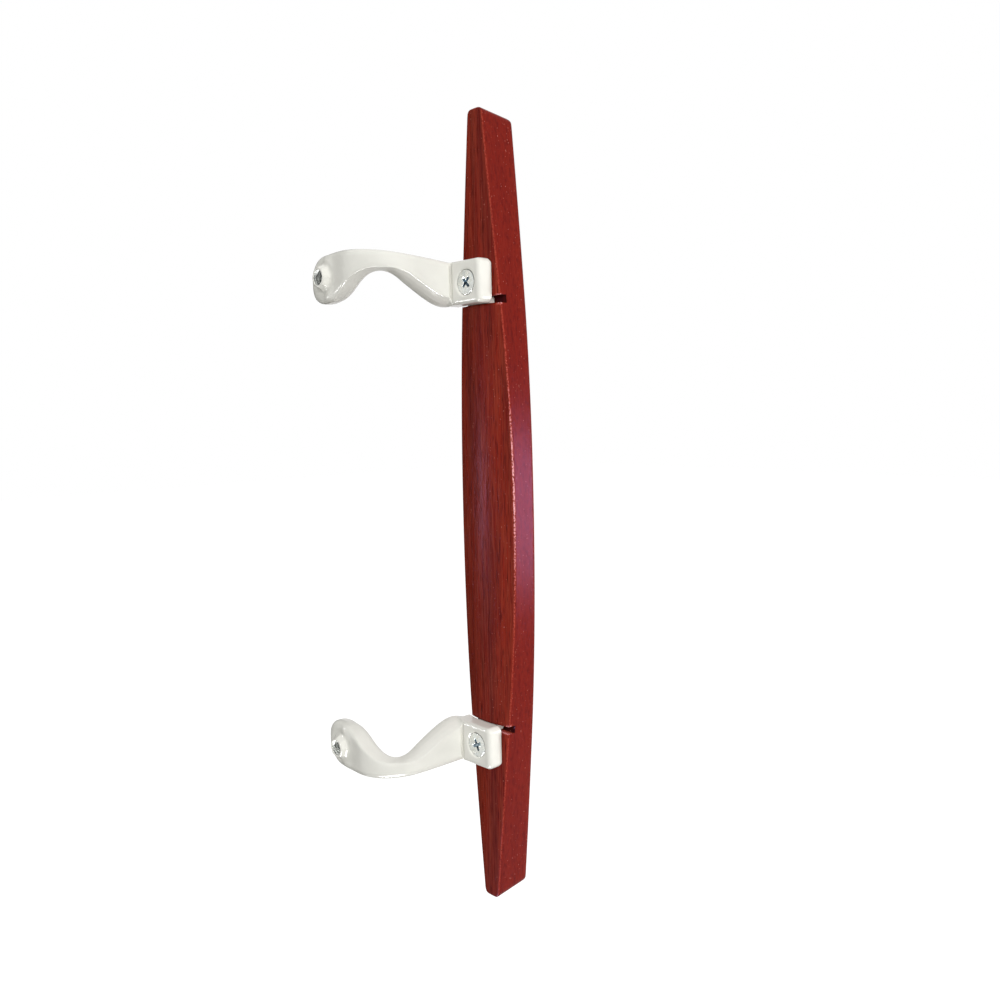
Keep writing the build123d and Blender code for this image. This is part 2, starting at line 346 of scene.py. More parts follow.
@dataclass(frozen=True)
class StainedHardwood:
    """Open-pored hardwood, sawn and sanded, with a red-brown stain under satin lacquer.

    The stain sinks unevenly into the fibres, the pores stay as short dark dashes under the lacquer, and
    the lacquer gives a soft, slightly violet sheen. Its edges turn pale pink, most near the grip: partly
    bare wood where the lacquer wore through, partly a painted highlight of the rounded rims.
    """

    name: str = "stained_hardwood_satin_lacquer"
    deep: str = "#641711"
    red: str = "#8A2617"
    even: str = "#791F14"
    warm: str = "#A4523A"
    pore: str = "#4E1109"
    rubbed: str = "#B64A3A"
    # Pale pink of the edges: partly bare wood, partly a painted highlight of the rounded rims.
    worn_and_glint: str = "#FFC2C8"
    fleck: str = "#B4695C"
    sheen_tint: str = "#E276FF"
    figure: GrainLayer = GrainLayer(across=3.0, along=70.0, detail=2.0, low=0.35, high=0.68)
    fibre: GrainLayer = GrainLayer(across=0.34, along=16.0, detail=2.0, low=0.35, high=0.7)
    # Real pores are 0.1 mm wide; they are drawn at 0.2 mm so that they show.
    pores: GrainLayer = GrainLayer(across=0.2, along=6.0, detail=1.0, low=0.55, high=0.7)
    # Dust nibs in the lacquer are 0.2 mm wide; they are drawn at 0.45 mm so that they show.
    nibs: GrainLayer = GrainLayer(across=0.45, along=0.6, detail=1.0, low=0.35, high=0.7)
    mottle: GrainLayer = GrainLayer(across=0.8, along=2.4, detail=2.0, low=0.5, high=0.68)
    specks: GrainLayer = GrainLayer(across=0.4, along=0.6, detail=0.0, low=0.8, high=0.85)
    chips: GrainLayer = GrainLayer(across=0.35, along=0.6, detail=2.0, low=0.38, high=0.55)
    # How far the grain shows, from the flanks to the crowned faces.
    flank_facing: float = 0.3
    crown_facing: float = 0.9
    flank_grain: float = 0.2
    fibre_share: float = 0.36
    pore_relief: float = -1.0
    nib_relief: float = 0.7
    # Edge mark at which the lacquer thins, and at which the pale pink of bare wood and painted highlight
    # begins.
    thinned_at: float = 0.3
    bare_from: float = 0.25
    smooth: float = 0.2
    rough: float = 0.32
    bump: float = 0.35
    relief: float = 0.06
    # Matting powder in the lacquer leaves far less mirror than the usual level of 0.5.
    mirror: float = 0.045

    def shares(self, tree: bpy.types.NodeTree) -> dict[str, bpy.types.NodeSocket]:
        """Draws the layers of the grain.

        Args:
            tree: The wood's node tree.

        Returns:
            Each layer's share from 0 to 1 by its name, and as "crown" that of the crowned faces.
        """
        place = add_node(tree, "TexCoord").outputs["Object"]
        share: dict[str, bpy.types.NodeSocket] = {}
        for name in ("figure", "fibre", "pores", "specks", "chips", "nibs", "mottle"):
            layer: GrainLayer = getattr(self, name)
            across = 1 / (layer.across * MM)
            scale = (across, across, 1 / (layer.along * MM))
            mapped = add_node(tree, "Mapping", {"Scale": scale}, {"Vector": place})
            cloud = add_node(
                tree, "TexNoise", {"Scale": 1.0, "Detail": layer.detail}, {"Vector": mapped.outputs[0]}
            )
            ranged = add_node(
                tree, "MapRange", {"From Min": layer.low, "From Max": layer.high}, {"Value": cloud.outputs[0]}
            )
            share[name] = ranged.outputs[0]
        facing = add_node(tree, "SeparateXYZ", links={0: add_node(tree, "TexCoord").outputs["Normal"]})
        steep = add_node(tree, "Math", {"operation": "ABSOLUTE"}, {0: facing.outputs["Y"]}).outputs[0]
        share["crown"] = add_node(
            tree,
            "MapRange",
            {"From Min": self.flank_facing, "From Max": self.crown_facing, "To Min": self.flank_grain},
            {"Value": steep},
        ).outputs[0]
        for name in ("pores", "fibre"):
            share[name] = add_node(
                tree, "Math", {"operation": "MULTIPLY"}, {0: share[name], 1: share["crown"]}
            ).outputs[0]
        share["soft_fibre"] = add_node(
            tree, "Math", {"operation": "MULTIPLY", 1: self.fibre_share}, {0: share["fibre"]}
        ).outputs[0]
        return share

    def stain(
        self, tree: bpy.types.NodeTree, share: dict[str, bpy.types.NodeSocket]
    ) -> bpy.types.NodeSocket:
        """Lays the colours over each other, from the stained wood up to its worn edges.

        Args:
            tree: The wood's node tree.
            share: The layers of the grain.

        Returns:
            Colour of the surface.
        """
        wear_and_glint = add_node(tree, "Attribute", {"attribute_name": "wear_and_glint"}).outputs["Fac"]
        # The edge mark is partly wear through the lacquer and partly a painted highlight of the rims.
        edge_wear_and_glint = add_node(tree, "Math", {"operation": "MULTIPLY"}, {0: wear_and_glint, 1: share["chips"]}).outputs[0]
        thinned = add_node(tree, "MapRange", {"From Max": self.thinned_at}, {"Value": edge_wear_and_glint}).outputs[0]
        bare = add_node(tree, "MapRange", {"From Min": self.bare_from}, {"Value": edge_wear_and_glint}).outputs[0]
        figured = add_node(
            tree,
            "Mix",
            {"data_type": "RGBA", UNDER: linear(self.deep), OVER: linear(self.red)},
            {0: share["figure"]},
        ).outputs[BLEND]
        blotched = add_node(
            tree,
            "Mix",
            {"data_type": "RGBA", UNDER: linear(self.even), OVER: linear(self.deep)},
            {0: share["mottle"]},
        ).outputs[BLEND]
        # The figure shows on the crowned faces; the flanks only have small blotches of stain.
        colour = add_node(
            tree, "Mix", {"data_type": "RGBA"}, {0: share["crown"], UNDER: blotched, OVER: figured}
        ).outputs[BLEND]
        for top, amount in (
            (self.warm, share["soft_fibre"]),
            (self.pore, share["pores"]),
            (self.fleck, share["specks"]),
            (self.rubbed, thinned),
            (self.worn_and_glint, bare),
        ):
            colour = add_node(
                tree, "Mix", {"data_type": "RGBA", OVER: linear(top)}, {0: amount, UNDER: colour}
            ).outputs[BLEND]
        return colour

    def material(self) -> bpy.types.Material:
        """Builds the stained and lacquered wood.

        Returns:
            Material that reads the bar's attribute of edge wear and painted highlight.
        """
        wood = bpy.data.materials.new(self.name)
        tree = empty_tree(wood)
        share = self.shares(tree)
        rough = add_node(
            tree, "MapRange", {"To Min": self.smooth, "To Max": self.rough}, {"Value": share["fibre"]}
        ).outputs[0]
        relief = share["soft_fibre"]
        for name, height in (("pores", self.pore_relief), ("nibs", self.nib_relief)):
            relief = add_node(
                tree, "Math", {"operation": "MULTIPLY_ADD", 1: height}, {0: share[name], 2: relief}
            ).outputs[0]
        bump = add_node(
            tree, "Bump", {"Strength": self.bump, "Distance": self.relief * MM}, {"Height": relief}
        )
        surface = add_node(
            tree,
            "BsdfPrincipled",
            {"Specular IOR Level": self.mirror, "Specular Tint": linear(self.sheen_tint)},
            {"Base Color": self.stain(tree, share), "Roughness": rough, "Normal": bump.outputs[0]},
        )
        add_node(tree, "OutputMaterial", links={"Surface": surface.outputs[0]})
        return wood


@dataclass(frozen=True)
class BakedEnamel:
    """White baked enamel sprayed over a zinc die casting.

    The film flows out glossy, with a faint orange peel, and hangs a little thin and grey in clouds;
    its crevices are painted grey as shade, found by ambient occlusion.
    """

    name: str = "baked_enamel_on_die_casting"
    film: str = "#EFEEE6"
    thin: str = "#E8E7DF"
    # Painted shade: grey mixed into the film where ambient occlusion finds a crevice.
    crevice_shade: str = "#8A887C"
    peel: float = 1.6
    peel_detail: float = 1.0
    cloud: float = 9.0
    cloud_detail: float = 3.0
    thin_from: float = 0.45
    thin_full: float = 0.75
    crevice: float = 0.9
    crevice_rays: int = 8
    crevice_open: float = 0.92
    crevice_shut: float = 0.3
    crevice_shade_share: float = 0.7
    smooth: float = 0.1
    rough: float = 0.22
    bump: float = 0.2
    relief: float = 0.05
    mirror: float = 0.3

    def coat(self, tree: bpy.types.NodeTree, cloud: bpy.types.NodeSocket) -> bpy.types.NodeSocket:
        """Colours the film and its thin clouds, and paints shade grey into its crevices.

        Args:
            tree: The enamel's node tree.
            cloud: Noise that thins the film.

        Returns:
            Colour of the surface.
        """
        share = add_node(
            tree, "MapRange", {"From Min": self.thin_from, "From Max": self.thin_full}, {"Value": cloud}
        ).outputs[0]
        colour = add_node(
            tree,
            "Mix",
            {"data_type": "RGBA", UNDER: linear(self.film), OVER: linear(self.thin)},
            {0: share},
        ).outputs[BLEND]
        # Painted shade: the film turns grey where ambient occlusion finds a crevice or a narrow gap.
        open_share = add_node(
            tree, "AmbientOcclusion", {"samples": self.crevice_rays, "Distance": self.crevice * MM}
        ).outputs["AO"]
        crevice_shade_amount = add_node(
            tree,
            "MapRange",
            {"From Min": self.crevice_open, "From Max": self.crevice_shut, "To Max": self.crevice_shade_share},
            {"Value": open_share},
        ).outputs[0]
        return add_node(
            tree, "Mix", {"data_type": "RGBA", OVER: linear(self.crevice_shade)}, {0: crevice_shade_amount, UNDER: colour}
        ).outputs[BLEND]

    def material(self) -> bpy.types.Material:
        """Builds the enamel.

        Returns:
            Glossy white paint material.
        """
        enamel = bpy.data.materials.new(self.name)
        tree = empty_tree(enamel)
        place = add_node(tree, "TexCoord").outputs["Object"]
        peel, cloud = (
            add_node(
                tree, "TexNoise", {"Scale": 1 / (size * MM), "Detail": detail}, {"Vector": place}
            ).outputs[0]
            for size, detail in ((self.peel, self.peel_detail), (self.cloud, self.cloud_detail))
        )
        rough = add_node(
            tree, "MapRange", {"To Min": self.smooth, "To Max": self.rough}, {"Value": cloud}
        ).outputs[0]
        bump = add_node(
            tree, "Bump", {"Strength": self.bump, "Distance": self.relief * MM}, {"Height": peel}
        )
        surface = add_node(
            tree,
            "BsdfPrincipled",
            {"Specular IOR Level": self.mirror},
            {"Base Color": self.coat(tree, cloud), "Roughness": rough, "Normal": bump.outputs[0]},
        )
        add_node(tree, "OutputMaterial", links={"Surface": surface.outputs[0]})
        return enamel


@dataclass(frozen=True)
class PlatedMetal:
    """Electroplated or freshly cut zinc, or a darker metal painted as the shade in a screw's recess.

    Plating is bright with a slight blue-yellow cast, clouded by handling and by fine tool marks.
    """

    name: str
    bright: str
    dull: str
    smooth: float
    rough: float
    cloud: float = 1.4
    cloud_detail: float = 4.0
    dull_from: float = 0.35
    dull_full: float = 0.7
    bump: float = 0.15
    relief: float = 0.03

    def material(self) -> bpy.types.Material:
        """Builds the metal.

        Returns:
            Metal material with clouded colour and roughness.
        """
        metal = bpy.data.materials.new(self.name)
        tree = empty_tree(metal)
        place = add_node(tree, "TexCoord").outputs["Object"]
        cloud = add_node(
            tree,
            "TexNoise",
            {"Scale": 1 / (self.cloud * MM), "Detail": self.cloud_detail},
            {"Vector": place},
        ).outputs[0]
        share = add_node(
            tree, "MapRange", {"From Min": self.dull_from, "From Max": self.dull_full}, {"Value": cloud}
        ).outputs[0]
        colour = add_node(
            tree,
            "Mix",
            {"data_type": "RGBA", UNDER: linear(self.bright), OVER: linear(self.dull)},
            {0: share},
        ).outputs[BLEND]
        rough = add_node(
            tree, "MapRange", {"To Min": self.smooth, "To Max": self.rough}, {"Value": share}
        ).outputs[0]
        bump = add_node(
            tree, "Bump", {"Strength": self.bump, "Distance": self.relief * MM}, {"Height": cloud}
        )
        surface = add_node(
            tree,
            "BsdfPrincipled",
            {"Metallic": 1.0},
            {"Base Color": colour, "Roughness": rough, "Normal": bump.outputs[0]},
        )
        add_node(tree, "OutputMaterial", links={"Surface": surface.outputs[0]})
        return metal


@dataclass
class PullBar:
    """The hardwood bar: a lens in plan, crowned front and back, with saw kerfs and pilot holes."""

    node: str = "wood_bar"
    finish: StainedHardwood = StainedHardwood()
    sawn: StainedHardwood = StainedHardwood(
        name="saw_cut_stained_hardwood",
        deep="#2A0A05",
        red="#380F08",
        even="#310D07",
        warm="#42150D",
        fleck="#7A4032",
    )
    # Outline and section.
    end_width: float = 7.1
    curved_length: float = 150.0
    crown_radius: float = 38.0
    end_slope: float = 8.0
    end_round: float = 2.0
    front_round: float = 1.5
    back_round: float = 0.7
    # Saw kerfs and pilot holes.
    kerf_height: float = 74.14
    kerf_width: float = 2.7
    kerf_depth: float = 4.1
    saw_reach: float = 3.0
    pilot_radius: float = 2.2
    cut_slack: float = 0.02
    pilot_start: float = 0.3
    # Edges worn pale and brightened as a painted highlight, most at the grip, and chips at the kerfs.
    edge_mark_reach: float = 0.5
    edge_mark_core: float = 0.26
    edge_mark_least: float = 0.22
    chip_reach: float = 1.2
    chip_mark: float = 0.75
    chip_slack: float = 0.1
    # Height where the edge mark, wear and painted highlight alike, is strongest, and how far it spreads.
    grip_and_glint_length: float = 28.0
    grip_and_glint_height: float = 11.0
    # Steps of the mesh.
    ring_step: float = 1.0
    turn_step: int = 15
    face_steps: int = 28
    side_steps: int = 14
    rim_steps: int = 5
    flank_rounds: int = 20
    # Taken from the CAD model.
    half_length: float = field(init=False)
    half_width: float = field(init=False)
    middle: Vector = field(init=False)
    back_y: float = field(init=False)
    front_y: float = field(init=False)
    flank: float = field(init=False)
    pilots: list[Vector] = field(init=False)

    def __post_init__(self) -> None:
        """Takes the bar's size from its CAD node and works out its flank angle."""
        low, high = (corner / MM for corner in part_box(self.node))
        self.half_length = high.z
        self.half_width = (high.x - low.x) / 2
        self.middle = (low + high) / 2
        self.back_y = high.y
        self.front_y = low.y
        half_curve = self.curved_length / 2
        straight = self.half_length - half_curve
        drop = self.half_width - self.end_width / 2
        half_tangent = 0.0
        for _ in range(self.flank_rounds):
            half_tangent = drop / (half_curve + 2 * straight / (1 - half_tangent**2))
        self.flank = 2 * math.atan(half_tangent)
        ends = [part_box(f"{side.name.lower()}_wood_screw") for side in Side]
        self.pilots = [(low + high) / 2 / MM for low, high in ends]

    def half_width_at(self, z: float) -> float:
        """Half the bar's width at a height.

        Args:
            z: Height from the bar's middle.

        Returns:
            Distance from the middle plane to the flank.
        """
        half_curve = self.curved_length / 2
        radius = half_curve / math.sin(self.flank)
        if abs(z) < half_curve:
            return self.half_width - radius + math.sqrt(radius**2 - z**2)
        joint = self.half_width - half_curve * math.tan(self.flank / 2)
        return joint - (abs(z) - half_curve) * math.tan(self.flank)

    def half_length_at(self, y: float) -> float:
        """Half the bar's length at a depth below its back, where the ends slope in."""
        return self.half_length - (self.back_y - y) * math.tan(math.radians(self.end_slope))

    def section(self, half_width: float, back_drop: float, front_rise: float) -> list[tuple[float, float]]:
        """One closed crowned section with rounded rims.

        Args:
            half_width: Half the section's width.
            back_drop: How far the back crown is lowered, near an end.
            front_rise: How far the front crown is raised, near an end.

        Returns:
            Points as (across, y), counted from the bar's middle plane.
        """
        crown = self.crown_radius
        arcs = []
        for rim, centre, toward in (
            (self.back_round, self.back_y - back_drop - crown, 1),
            (self.front_round, self.front_y + front_rise + crown, -1),
        ):
            small = min(rim, half_width / 2)
            across = half_width - small
            up = math.sqrt((crown - small) ** 2 - across**2)
            angle = math.atan2(up, across)
            start = 0.0 if toward == 1 else math.pi
            rim_y = centre + toward * up
            rise, fall, end = start + angle, start + math.pi - angle, start + math.pi
            arcs += [
                (toward * across, rim_y, small, start, rise, self.rim_steps),
                (0.0, centre, crown, rise, fall, self.face_steps),
                (-toward * across, rim_y, small, fall, end, self.rim_steps),
            ]
        points = []
        for index, (x, y, radius, first, last, steps) in enumerate(arcs):
            for step in range(steps):
                angle = first + (last - first) * step / steps
                points.append((x + radius * math.cos(angle), y + radius * math.sin(angle)))
            # A straight side follows the last rim of each crown.
            if index in (2, 5):
                side = half_width if index == 5 else -half_width
                next_y = arcs[(index + 1) % 6][1]
                for step in range(self.side_steps):
                    points.append((side, y + (next_y - y) * step / self.side_steps))
        return points

    def heights(self) -> list[float]:
        """Heights of the mesh's rings, closer together where the ends turn over.

        Returns:
            Heights from the lower end to the upper.
        """
        angles = range(0, 90, self.turn_step)
        turn = [self.end_round * (1 - math.cos(math.radians(angle))) for angle in angles]
        upper = [self.half_length - inset for inset in turn]
        count = round(upper[-1] / self.ring_step)
        middle = [upper[-1] * step / count for step in range(1 - count, count)]
        return [-z for z in upper] + middle + upper[::-1]

    @staticmethod
    def turned_in(distance: float, radius: float) -> float:
        """How far a rounded end has drawn in at a distance from its tip."""
        return 0.0 if distance >= radius else radius - math.sqrt(radius**2 - (radius - distance) ** 2)

    def blank(self) -> bpy.types.Mesh:
        """Skins the bar's rings and closes its ends.

        Returns:
            The bar before it is cut.
        """
        shape = bmesh.new()
        rings = []
        for nominal in self.heights():
            from_tip = self.half_length - abs(nominal)
            width = self.half_width_at(nominal) - self.turned_in(from_tip, self.end_round)
            back_drop = self.turned_in(from_tip, self.back_round)
            front_rise = self.turned_in(from_tip, self.front_round)
            ring = []
            for across, y in self.section(width, back_drop, front_rise):
                z = nominal * self.half_length_at(y) / self.half_length
                grow = self.half_width_at(z) / self.half_width_at(nominal)
                ring.append(shape.verts.new((self.middle.x + across * grow, y, z)))
            rings.append(ring)
        return mesh_of(self.node, skinned(shape, rings))

    def cut(self, mesh: bpy.types.Mesh) -> bpy.types.Mesh:
        """Saws the kerfs and drills the pilot holes.

        Args:
            mesh: The bar's blank.

        Returns:
            The bar as the brackets need it.
        """
        across = self.saw_reach * self.half_width
        for side in Side:
            low, high = (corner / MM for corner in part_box(f"{side.name.lower()}_wood_screw"))
            saw = bmesh.new()
            bmesh.ops.create_cube(saw, size=1.0)
            bmesh.ops.scale(saw, vec=(across, 2 * self.kerf_depth, self.kerf_width), verts=saw.verts)
            spot = (self.middle.x, self.back_y, side.value * self.kerf_height)
            bmesh.ops.translate(saw, vec=spot, verts=saw.verts)
            mesh = cut_by(mesh, saw)
            seat = Matrix.Translation((low + high) / 2) @ Matrix.Rotation(math.pi / 2, 4, "X")
            mesh = cut_by(mesh, rod(self.pilot_radius, high.y - low.y, seat))
        return mesh

    def mark(self, mesh: bpy.types.Mesh) -> None:
        """Writes the edge mark: lacquer worn through along the edges, with a painted highlight of the rims,
        most at the grip.

        Args:
            mesh: The bar's finished mesh, in millimetres.
        """
        wear_and_glint = mesh.attributes.new("wear_and_glint", "FLOAT", "POINT")
        for vertex in mesh.vertices:
            edge = self.depths(vertex.co)[1]
            from_grip = (vertex.co.z - self.grip_and_glint_height) / self.grip_and_glint_length
            held = self.edge_mark_least + (1 - self.edge_mark_least) * math.exp(-(from_grip**2))
            share = (self.edge_mark_reach - edge) / (self.edge_mark_reach - self.edge_mark_core)
            level = held * min(max(share, 0.0), 1.0)
            if abs(self.off_kerf(vertex.co)) < self.chip_slack and edge < self.chip_reach:
                level = max(level, self.chip_mark)
            wear_and_glint.data[vertex.index].value = level

    def off_kerf(self, spot: Vector) -> float:
        """Distance of a point from the nearest kerf along the bar, below zero inside it."""
        return abs(abs(spot.z) - self.kerf_height) - self.kerf_width / 2

    def depths(self, spot: Vector) -> list[float]:
        """Depths of a point below the bar's flanks, back, front and ends.

        Args:
            spot: Point in millimetres.

        Returns:
            The depths, least first.
        """
        across = abs(spot.x - self.middle.x)
        fall = self.crown_radius - math.sqrt(self.crown_radius**2 - across**2)
        flank = self.half_width_at(spot.z) - across
        end = self.half_length_at(spot.y) - abs(spot.z)
        back = self.back_y - fall - spot.y
        front = spot.y - self.front_y - fall
        return sorted(abs(depth) for depth in (flank, back, front, end))

    def is_sawn(self, spot: Vector) -> bool:
        """Tells whether a face lies in a kerf or a pilot hole.

        Args:
            spot: Middle of the face, in millimetres.

        Returns:
            True where the saw or the drill made the face.
        """
        slack = self.cut_slack
        if self.off_kerf(spot) < slack and spot.y > self.back_y - self.kerf_depth - slack:
            return True
        off_axis = min(math.hypot(spot.x - axis.x, spot.z - axis.z) for axis in self.pilots)
        return off_axis < self.pilot_radius + slack and self.depths(spot)[0] > self.pilot_start

    def build(self) -> bpy.types.Object:
        """Makes the bar and dresses it.

        Returns:
            The finished bar.
        """
        mesh = self.cut(self.blank())
        self.mark(mesh)
        piece = placed("canoe_bar", mesh, self.node)
        return dressed(piece, self.finish.material(), self.sawn.material(), self.is_sawn)


@dataclass
class CastBracket:
    """One die-cast bracket: foot, bent arm, pad and tapped boss under one film of enamel."""

    side: Side
    finish: BakedEnamel = BakedEnamel()
    bare: PlatedMetal = PlatedMetal(
        "tapped_zinc_casting", bright="#DADBD8", dull="#BCBEBC", smooth=0.55, rough=0.7
    )
    # Skin of the mesh and film of the enamel.
    skin: float = 0.25
    rounds: int = 3
    arm_rounds: int = 30
    film: float = 0.13
    # The arm's path, and where the enamel stops flowing on it.
    ridge_x: float = -36.2
    standoff: float = 27.5
    arm_lean: float = 70.0
    bend_radius: float = 20.0
    arm_length: float = 51.9
    foot_clear: float = 1.0
    root_length: float = 4.0
    end_reach: float = 2.6
    end_gain: float = 1.6
    # Bevel along the arm's inner side: its widths by place, then its cutting tool.
    draft_places: tuple[float, ...] = (-0.8, 0.6, 4.0, 15.0, 25.0, 38.0, 51.0)
    draft_widths: tuple[float, ...] = (0.0, 2.7, 3.1, 2.8, 0.9, 2.0, 0.0)
    draft_depth: float = 7.0
    draft_hollow: float = 1.0
    draft_release: float = 0.7
    draft_start: float = -1.5
    draft_overrun: float = 2.0
    draft_steps: int = 72
    profile_steps: int = 4
    tool_back: float = 2.5
    tool_front: float = 2.0
    tool_drop: float = 4.0
    # Slab in which the inner side is looked for, and rounds of evening out.
    slab_half: float = 0.4
    slab_slack: float = 0.3
    slab_rounds: int = 4
    # Groove at the foot and corner of the pad.
    quirk_radius: float = 0.6
    quirk_length: float = 60.0
    pad_corner: float = 0.13
    corner_reach: float = 3.0
    # Boss and tapped hole.
    boss_radius: float = 5.2
    boss_base: float = -0.6
    hole_spacing: float = 168.275
    hole_radius: float = 2.55
    hole_floor: float = -4.5
    hole_mouth: float = 2.5
    hole_clear: float = 0.8
    wall_slack: float = 0.3
    thread_pitch: float = 1.27
    thread_depth: float = 0.25
    thread_lead: float = 0.5
    bare_slack: float = 0.05
    bare_lip: float = 0.2

    @property
    def node(self) -> str:
        """Name of the bracket's CAD node."""
        return f"{self.side.name.lower()}_bracket"

    @property
    def hole_height(self) -> float:
        """Height of the tapped hole's axis."""
        return self.side.value * self.hole_spacing / 2

    def flow_at(self, spot: Vector, free_end: float) -> float:
        """How freely the enamel flows at a point, held at the foot's seat, the boss and its hole.

        Args:
            spot: Point in millimetres.
            free_end: Where the foot's free end lies along X.

        Returns:
            Share of the flow, at most 1; zero or less where the casting keeps its edges.
        """
        from_axis = math.hypot(spot.x, spot.z - self.hole_height)
        off_foot = (spot.x - self.ridge_x - self.foot_clear) / self.root_length
        if spot.y < self.hole_floor - self.hole_clear:
            off_boss = 1.0
        elif spot.y > self.boss_base:
            off_boss = from_axis - self.boss_radius
        else:
            off_boss = from_axis - self.hole_radius - self.hole_clear
        near_end = self.end_gain * (free_end + self.end_reach - spot.x) / self.end_reach
        return min(1.0, max(off_foot, near_end), off_boss)

    def flowed(self, mesh: bpy.types.Mesh) -> bpy.types.Mesh:
        """Lets the enamel flow over the arm and pad, where it rounds the casting's flats.

        Args:
            mesh: The casting's even skin, in millimetres.

        Returns:
            The skin under its film of enamel.
        """
        free_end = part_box(self.node)[0].x / MM
        thing = new_object("casting", mesh)
        arm = thing.vertex_groups.new(name="arm")
        for vertex in mesh.vertices:
            weight = self.flow_at(vertex.co, free_end)
            if weight > 0:
                arm.add([vertex.index], weight, "REPLACE")
        flow = thing.modifiers.new("flow", "SMOOTH")
        flow.factor = SMOOTHING
        flow.iterations = self.arm_rounds
        flow.vertex_group = arm.name
        film = thing.modifiers.new("film", "DISPLACE")
        film.strength = self.film
        film.mid_level = 0.0
        film.vertex_group = arm.name
        return baked(thing)

    def path(self, along: float) -> tuple[Vector, Vector]:
        """The arm's near face seen along the bar: up from the foot, round the bend, over to the boss.

        Args:
            along: Distance from the foot's face.

        Returns:
            Point on the path and its heading there.
        """
        lean = math.radians(self.arm_lean)
        straight = self.standoff / math.sin(lean) - self.bend_radius * math.tan(lean / 2)
        up = Vector((math.cos(lean), math.sin(lean), 0.0))
        bend = Vector((self.ridge_x, -self.standoff, 0.0)) + up * min(along, straight)
        turned = min(max(along - straight, 0.0) / self.bend_radius, lean)
        angle = lean - turned
        heading = Vector((math.cos(angle), math.sin(angle), 0.0))
        swing = Vector((math.sin(lean) - math.sin(angle), math.cos(angle) - math.cos(lean), 0.0))
        beyond = max(along - straight - self.bend_radius * lean, 0.0)
        return bend + swing * self.bend_radius + heading * beyond, heading

    def inner_side(self, mesh: bpy.types.Mesh, alongs: list[float]) -> list[float]:
        """Finds the arm's inner side along its path and evens it out.

        Args:
            mesh: The casting's skin, in millimetres.
            alongs: Distances from the foot's face.

        Returns:
            Height of the inner side at each distance, counted from the bar's middle.
        """
        flat = np.empty(len(mesh.vertices) * 3)
        mesh.vertices.foreach_get("co", flat)
        spots = flat.reshape(-1, 3)
        heights = spots[:, 2] * self.side.value
        lows = []
        for along in alongs:
            spot, heading = self.path(along)
            right, out = spots[:, 0] - spot.x, spots[:, 1] - spot.y
            ahead = right * heading.x + out * heading.y
            inward = right * heading.y - out * heading.x
            near = (inward > -self.slab_slack) & (inward < self.draft_depth)
            lows.append(float(heights[near & (np.abs(ahead) < self.slab_half)].min()))
        for _ in range(self.slab_rounds):
            inner = [sum(lows[place - 1 : place + 2]) / 3 for place in range(1, len(lows) - 1)]
            lows = lows[:1] + inner + lows[-1:]
        return lows

    def draft_profile(self, along: float) -> list[tuple[float, float]]:
        """Outline of the draft's cutting tool at a place on the arm.

        Args:
            along: Distance from the foot's face.

        Returns:
            Points as (out from the arm's near face, up from its inner side).
        """
        width = float(np.interp(along, self.draft_places, self.draft_widths))
        share = min(max(along / (self.arm_length / 2), 0.0), 1.0)
        hollow = self.draft_hollow * math.sin(math.pi * share) ** 2
        level = hollow - max(self.draft_release - width, 0.0)
        bevel = []
        for step in range(-1, self.profile_steps + 1):
            inward = step / self.profile_steps
            bevel.append((-self.draft_depth * inward, level + width * (1 - inward) ** 2))
        back = -self.draft_depth - self.tool_back
        return bevel + [(back, level), (back, -self.tool_drop), (self.tool_front, -self.tool_drop)]

    def draft(self, mesh: bpy.types.Mesh) -> bmesh.types.BMesh:
        """The sweep that bevels the arm's inner side, as a casting's draft, up to a crisp edge.

        Args:
            mesh: The casting's skin, in millimetres.

        Returns:
            Closed tool that lies against the arm's inner side.
        """
        span = self.arm_length + self.draft_overrun
        steps = self.draft_steps
        alongs = [self.draft_start + span * step / steps for step in range(steps + 1)]
        tool = bmesh.new()
        rings = []
        for along, low in zip(alongs, self.inner_side(mesh, alongs)):
            spot, heading = self.path(along)
            outward = Vector((-heading.y, heading.x, 0.0))
            ring = []
            for out, rise in self.draft_profile(along):
                point = spot + outward * out
                ring.append(tool.verts.new((point.x, point.y, self.side.value * (low + rise))))
            rings.append(ring)
        return skinned(tool, rings)

    def quirk(self) -> bmesh.types.BMesh:
        """The rod that leaves a narrow groove in the corner between foot and arm."""
        corner = Matrix.Translation((self.ridge_x, -self.standoff, self.hole_height))
        return rod(self.quirk_radius, self.quirk_length, corner)

    def squared(self, mesh: bpy.types.Mesh) -> None:
        """Fills out the inner corner of the pad's free end.

        Args:
            mesh: The casting's skin, in millimetres.
        """
        for vertex in mesh.vertices:
            inner = self.side.value * (self.hole_height - vertex.co.z)
            if vertex.co.x > 0 and inner > 0:
                radius = math.hypot(vertex.co.x, inner)
                share = min(max((radius - self.boss_radius) / self.corner_reach, 0.0), 1.0)
                corner = math.sin(2 * math.atan2(inner, vertex.co.x)) ** 2
                grow = 1 + self.pad_corner * share * corner
                vertex.co.x *= grow
                vertex.co.z = self.hole_height - self.side.value * inner * grow

    def tap(self, mesh: bpy.types.Mesh) -> None:
        """Cuts a thread into the wall of the boss's hole.

        Args:
            mesh: The bracket's skin, in millimetres.
        """
        start = self.hole_floor + self.thread_lead
        stop = self.hole_mouth - self.wall_slack
        for vertex in mesh.vertices:
            x, y, z = vertex.co
            up = z - self.hole_height
            radius = math.hypot(x, up)
            if abs(radius - self.hole_radius) < self.wall_slack and start < y < stop:
                turn = math.atan2(up, x) / math.tau
                phase = (y / self.thread_pitch + self.side.value * turn) % 1.0
                grow = 1 + self.thread_depth * (1 - abs(2 * phase - 1)) / radius
                vertex.co.x = x * grow
                vertex.co.z = self.hole_height + up * grow

